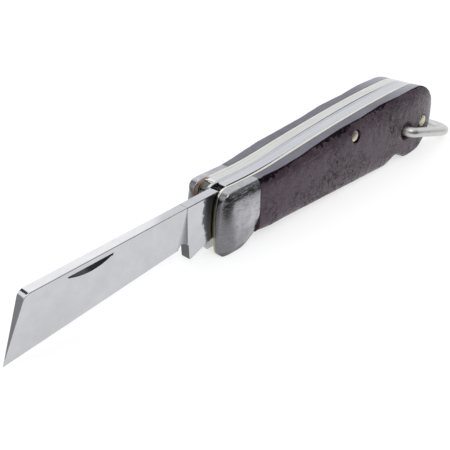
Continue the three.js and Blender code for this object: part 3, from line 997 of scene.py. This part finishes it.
def blade_shade_and_reflection(n):
    """Painted shade in a band along the plunge, a darker and rougher front of the kick, and a painted
    reflection of the dark bolster front on the tang.
    """
    x, z = n.axis("X"), n.axis("Z")
    # A band of painted shade along the plunge, widest at its foot.
    edge = n.plus(PLUNGE_FOOT[0] - PLUNGE_LEAN * PLUNGE_FOOT[1], n.times(z, PLUNGE_LEAN))
    behind = n.minus(edge, x)
    width = n.larger(n.times(n.minus(13.4, z), 0.3), 0.2)
    plunge_shade = n.times(n.span(behind, width, 0.0), n.span(behind, -0.06, 0.02))
    kick = n.times(n.span(n.size(n.minus(x, KICK_X)), 0.14, 0.1), n.span(z, 5.5, 5.3))
    mask = n.larger(n.times(plunge_shade, 0.75), kick)
    # A painted reflection of the dark bolster front on the tang's side faces.
    bow = n.times(n.size(n.minus(z, 9.0)), 0.24)
    wander = n.minus(n.plus(x, n.times(n.noise(1.3, 5, 0.8), 3.2)), bow)
    tang_reflection = n.times(n.span(wander, TANG_REFLECTION_X, TANG_REFLECTION_X + 0.5), 0.85)
    tang_reflection = n.times(tang_reflection, n.span(n.facing("Z"), 0.7, 0.4))
    return n.larger(mask, tang_reflection), (0.11, 0.11, 0.115), 0.2


def scale_material():
    """Dark plum covers: a glossy, pitted face, and under the back edge a rough band painted black as a dark
    reflection.
    """
    n = Nodes("scale_plum")
    cloud = n.ramp(n.noise(0.2, 5, 0.6), [(0.35, 0.0), (0.65, 1.0)])
    where = n.ramp(n.noise(0.12, 3, 0.5), [(0.44, 0.2), (0.58, 1.0)])
    creases = n.noise(0.5, 5, 0.6, stretch=(0.9, 0.9, 0.8), distortion=1.2)
    fold = n.ramp(n.size(n.minus(creases, 0.5)), [(0.0, 1.0), (0.012, 0.6), (0.03, 0.0)])
    pits = n.ramp(n.noise(1.25, 3, 0.6, stretch=(1.1, 1.0, 0.8)), [(0.36, 1.0), (0.42, 0.0)])
    hollow = n.times(n.larger(fold, pits), where)
    ragged = n.times(n.minus(n.noise(0.9, 5, 0.7), 0.5), 0.9)
    # Painted dark reflection on the upward-facing band under the back edge; the flecks left in it stand in
    # for small glints.
    crown = n.span(n.plus(n.facing("Z"), ragged), 0.30, 0.40)
    fleck = n.ramp(n.noise(2.0, 2, 0.5), [(0.62, 0.0), (0.68, 1.0)])
    dark = n.larger(n.times(hollow, 0.85), n.times(crown, n.minus(1.0, fleck)))
    colour = n.mix(cloud, (0.038, 0.022, 0.033), (0.048, 0.030, 0.042))
    # Near black in the pits and creases, and in the painted dark reflection under the back edge.
    colour = n.mix(dark, colour, (0.004, 0.001, 0.003))
    lines = n.noise(0.3, 4, 0.6, stretch=(0.6, 1.0, 2.2), distortion=0.8)
    normal = n.bump(n.ramp(lines, [(0.40, 0.0), (0.44, 1.0)]), 0.05)
    normal = n.bump(n.minus(1.0, hollow), 0.07, normal=normal)
    normal = n.bump(n.noise(0.45, 3, 0.5), 0.07, normal=normal)
    rough = n.mix(dark, n.mix(cloud, (0.2, 0.2, 0.2), (0.3, 0.3, 0.3)), (0.55, 0.55, 0.55))
    gloss = n.maths("MULTIPLY_ADD", n.larger(dark, crown), -0.42, 0.5)
    return n.set(base_color=colour, roughness=rough, normal=normal, ior=1.49,
                 specular_ior_level=gloss, specular_tint=(1.0, 0.9, 0.98))


def back_edge_sheen_material():
    """The covers' back edge, flush with the metal: duller than the faces, and paler, as a painted reflection
    of the bright overhead light.
    """
    n = Nodes("scale_back_edge_sheen")
    cloud = n.ramp(n.noise(0.3, 5, 0.6), [(0.3, 0.0), (0.7, 1.0)])
    lines = n.noise(1.0, 4, 0.6, stretch=(0.35, 3.5, 1.0))
    # Pale lavender: a painted reflection of the bright overhead light.
    colour = n.mix(cloud, (0.105, 0.100, 0.128), (0.150, 0.146, 0.180))
    colour = n.mix(n.ramp(lines, [(0.35, 0.35), (0.6, 0.0)]), colour, (0.06, 0.05, 0.07))
    # The painted reflection grows paler towards the butt.
    colour = n.mix(n.span(n.axis("X"), 44.0, 72.0), colour, (0.42, 0.41, 0.47))
    return n.set(base_color=colour, roughness=0.42, normal=n.bump(lines, 0.02))


def far_liner_edge_shade(n):
    """Painted shade on the far liner's edge where it shows at the front, a coppery brown."""
    front = n.span(n.plus(n.axis("X"), n.noise(0.6, 3, 0.5)), -4.5, -6.0)
    edge = n.span(n.size(n.facing("Y")), 0.8, 0.6)
    return n.times(front, edge), (0.20, 0.125, 0.09), 0.1


def near_liner_edge_shade(n):
    """Painted shade on the near liner's edge at the front, an olive tone, fading out towards the top."""
    front = n.span(n.plus(n.axis("X"), n.noise(0.6, 3, 0.5)), -8.6, -9.8)
    low = n.span(n.axis("Z"), 13.0, 10.0)
    return n.times(n.times(front, low), 0.85), (0.27, 0.25, 0.14), 0.15


def sheet_material(name, low, high, rough, glow):
    """A matt grey sheet, between two tones, that also gives off an even light of its own."""
    n = Nodes(name)
    tone = n.mix(n.noise(0.01, 2, 0.5), (low, low, low), (high, high, high))
    return n.set(base_color=tone, roughness=rough, specular_ior_level=0.0, emission_color=(1.0, 1.0, 1.0),
                 emission_strength=glow)


ALONG = (0.12, 5.0, 2.0)  # a grain that runs along the handle


def brass(name, painted_shade=None):
    return metal(name, (0.74, 0.73, 0.65), rough=0.22, grain=ALONG, depth=0.004, wear=0.12, painted_shade=painted_shade)


# The blade's mask paints shade in the plunge and a reflection of the bolster on the tang, and darkens the
# kick's front.
BLADE_STEEL = metal("main_blade_steel", (0.59, 0.59, 0.61), rough=0.13, grain=(0.25, 1.0, 1.2), depth=0.003,
                    wear=0.09, painted_shade=blade_shade_and_reflection)
SPRING_STEEL = metal("spring_steel", (0.625, 0.63, 0.66), rough=0.2, grain=ALONG, depth=0.003, wear=0.16,
                     drift=(0.25, 5.0, 1.0))
LIFTER_SPRING_STEEL = metal("lifter_spring_steel", (0.69, 0.685, 0.668), rough=0.24, grain=ALONG,
                            depth=0.003, wear=0.14, drift=(0.3, 5.0, 1.0))
DIVIDER_STEEL = metal("divider_steel", (0.56, 0.56, 0.56), rough=0.25, grain=ALONG, depth=0.004, wear=0.1)
BRASS = brass("liner_brass")
# The bolster's mask paints a dark reflection round its front and shade along its lower edge.
NICKEL = metal("bolster_nickel_silver", (0.55, 0.55, 0.575), rough=0.22, grain=(1.6, 2.0, 2.4), depth=0.035,
               wear=0.4, scratch=0.012, painted_shade=bolster_dark_reflection)
# The liners' masks paint shade on their edges at the front.
NEAR_BRASS = brass("near_liner_brass", painted_shade=near_liner_edge_shade)
FAR_BRASS = brass("far_liner_brass", painted_shade=far_liner_edge_shade)
LIFTER_STEEL = metal("lifter_steel", (0.64, 0.64, 0.65), rough=0.42, grain=(0.6, 1.0, 0.25), depth=0.003,
                     wear=0.06)
PIN_BRASS = metal("pin_brass", (0.78, 0.73, 0.56), rough=0.38, grain=(1.0, 1.0, 1.0), depth=0.006, wear=0.12)
WIRE = metal("bail_wire_nickel", (0.66, 0.65, 0.63), rough=0.42, grain=(0.4, 2.0, 2.0), depth=0.004,
             wear=0.12)
PLUM = scale_material()
BACK_EDGE_SHEEN = back_edge_sheen_material()


# ---------------------------------------------------------------- assembly
def fit(made, body, material):
    """Puts a made piece, which comes with its CAD node's name, on its body."""
    piece, node = made
    piece.data.materials.append(material)
    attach(piece, body)
    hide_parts(node)
    return piece


def on_rim(face):
    """Whether a face of a cover belongs to its back edge with the painted pale reflection, along the back
    and round the butt.
    """
    x, z = face.center.x / MM + ORIGIN_X, face.center.z / MM
    if any(math.hypot(x - hole[0], z - hole[1]) < 2.8 for hole in (MID_PIN, BUTT_PIN, BAIL_PIVOT)):
        return False
    return abs(face.normal.y) < 0.5 and face.normal.z > -0.2 and face.normal.x > -0.5


for side in (-1, 1):
    cover = fit(make_scale(side), "handle", PLUM)
    # The back edge's faces take the material with the painted pale reflection.
    cover.data.materials.append(BACK_EDGE_SHEEN)
    for face in cover.data.polygons:
        if on_rim(face):
            face.material_index = 1
    fit(make_bolster(side), "handle", NICKEL)
    fit(make_liner(side), "handle", NEAR_BRASS if side < 0 else FAR_BRASS)
    fit(make_rivet(side), "handle", BRASS)
fit(make_centre_liner(), "handle", DIVIDER_STEEL)
main_spring = make_spring("main_spring", -6.3, 0.3, main_gap, flat_face(CENTRE_NEAR))
fit(main_spring, "handle", SPRING_STEEL)
lifter_spring = make_spring("lifter_spring", -6.8, 0.7, lifter_gap, flat_face(LIFTER_SPRING_FAR))
fit(lifter_spring, "handle", LIFTER_SPRING_STEEL)
fit(make_pin("pivot_pin", PIVOT, PIVOT_R, reach=5.95, dome=0.05), "handle", NICKEL)
fit(make_pin("mid_pin", MID_PIN, MID_R, reach=6.6, dome=0.12), "handle", PIN_BRASS)
fit(make_pin("butt_pin", BUTT_PIN, BUTT_R, reach=6.45, dome=0.15), "handle", PIN_BRASS)
fit(make_blade(), "main_blade", BLADE_STEEL)
fit(make_lifter(), "bark_lifter", LIFTER_STEEL)
fit(make_bail(), "bail", WIRE)


# ---------------------------------------------------------------- floor, light and camera
def sheet_object(name, size, location, normal):
    bm = bmesh.new()
    bmesh.ops.create_grid(bm, x_segments=1, y_segments=1, size=size / 2)
    mesh = bpy.data.meshes.new(name)
    bm.to_mesh(mesh)
    bm.free()
    made = bpy.data.objects.new(name, mesh)
    made.location = location
    made.rotation_euler = Vector(normal).to_track_quat("Z", "Y").to_euler()
    bpy.context.scene.collection.objects.link(made)
    return made


def area_light(name, location, target, size, power):
    data = bpy.data.lights.new(name, "AREA")
    data.shape = "DISK"
    data.size = size
    data.energy = power
    made = bpy.data.objects.new(name, data)
    made.location = location
    made.rotation_euler = (Vector(location) - Vector(target)).to_track_quat("Z", "Y").to_euler()
    bpy.context.scene.collection.objects.link(made)
    return made


def reflection_card(name, columns, tone, glow=0.0):
    """A card that shows in reflections and nowhere else. Each column holds its two end points."""
    bm = bmesh.new()
    rows = [(bm.verts.new(a), bm.verts.new(b)) for a, b in columns]
    for a, b in zip(rows[:-1], rows[1:]):
        bm.faces.new([a[0], b[0], b[1], a[1]])
    mesh = bpy.data.meshes.new(name)
    bm.to_mesh(mesh)
    bm.free()
    made = bpy.data.objects.new(name, mesh)
    bpy.context.scene.collection.objects.link(made)
    made.data.materials.append(sheet_material(name + "_face", 0.9 * tone, tone, 0.9, glow))
    made.visible_camera = False
    made.visible_diffuse = False
    made.visible_shadow = False


def upright(x0, x1, y, low, high):
    return [((x, y, low), (x, y, high)) for x in (x0, x1)]


CARD_RING_R = 0.24


def curved(start, stop, low, high):
    """Columns round the knife, from one angle to another, in degrees."""
    angles = np.radians(np.linspace(start, stop, 16))
    ring = [(CARD_RING_R * math.cos(a), CARD_RING_R * math.sin(a)) for a in angles]
    return [((x, y, low), (x, y, high)) for x, y in ring]


def level(x0, x1, y0, y1, z):
    return [((x, y0, z), (x, y1, z)) for x in (x0, x1)]


floor = sheet_object("floor", 6.0, (0, 0, 0), (0, 0, 1))
floor.data.materials.append(sheet_material("floor_pale", 0.42, 0.44, 0.8, 0.62))

world = bpy.data.worlds.new("studio")
bpy.context.scene.world = world
world.use_nodes = True
world.node_tree.nodes["Background"].inputs["Color"].default_value = (0.96, 0.97, 1.0, 1)
world.node_tree.nodes["Background"].inputs["Strength"].default_value = 1.05

# Darkness on the camera's side of the table, and bright panels with a dark gap behind the knife.
reflection_card("card_front", curved(195, 288, 0.0005, 0.20), 0.033)
reflection_card("card_low", curved(288, 325, 0.0005, 0.05), 0.05)
reflection_card("card_high", curved(288, 325, 0.05, 0.20), 0.13)
reflection_card("card_floor", level(-0.30, 0.30, -0.30, -0.026, 0.0004), 0.033)
reflection_card("card_tip", level(-0.40, -0.074, 0.004, 0.30, 0.0004), 0.30)
reflection_card("panel_rear", upright(-0.045, 0.075, 0.15, 0.03, 0.24), 0.5, 0.9)
reflection_card("panel_left", upright(-0.24, -0.115, 0.15, 0.07, 0.24), 0.5, 0.7)
reflection_card("card_gap", upright(-0.115, -0.045, 0.15, 0.05, 0.24), 0.05)
reflection_card("card_left", upright(-0.60, -0.115, 0.151, 0.0005, 0.07), 0.30)
area_light("key_softbox", (-0.25, -0.45, 0.60), (0, 0, 0), 0.25, 0.9)

CAMERA_AT = Vector((-0.0956624 - ORIGIN_X * MM, -0.0939679, 0.0787555))
CAMERA_RIGHT = Vector((0.703035, -0.710316, -0.034536))
CAMERA_UP = Vector((0.375721, 0.329760, 0.866079))
camera = bpy.data.objects.new("camera", bpy.data.cameras.new("camera"))
camera.data.lens = 56.0
camera.data.sensor_width = 36.0
camera.data.clip_start = 0.005
turn = Matrix((CAMERA_RIGHT, CAMERA_UP, CAMERA_RIGHT.cross(CAMERA_UP))).transposed()
camera.matrix_world = Matrix.Translation(CAMERA_AT) @ turn.to_4x4()
bpy.context.scene.collection.objects.link(camera)
bpy.context.scene.camera = camera

bpy.context.scene.view_settings.view_transform = "Standard"
bpy.context.scene.view_settings.look = "None"
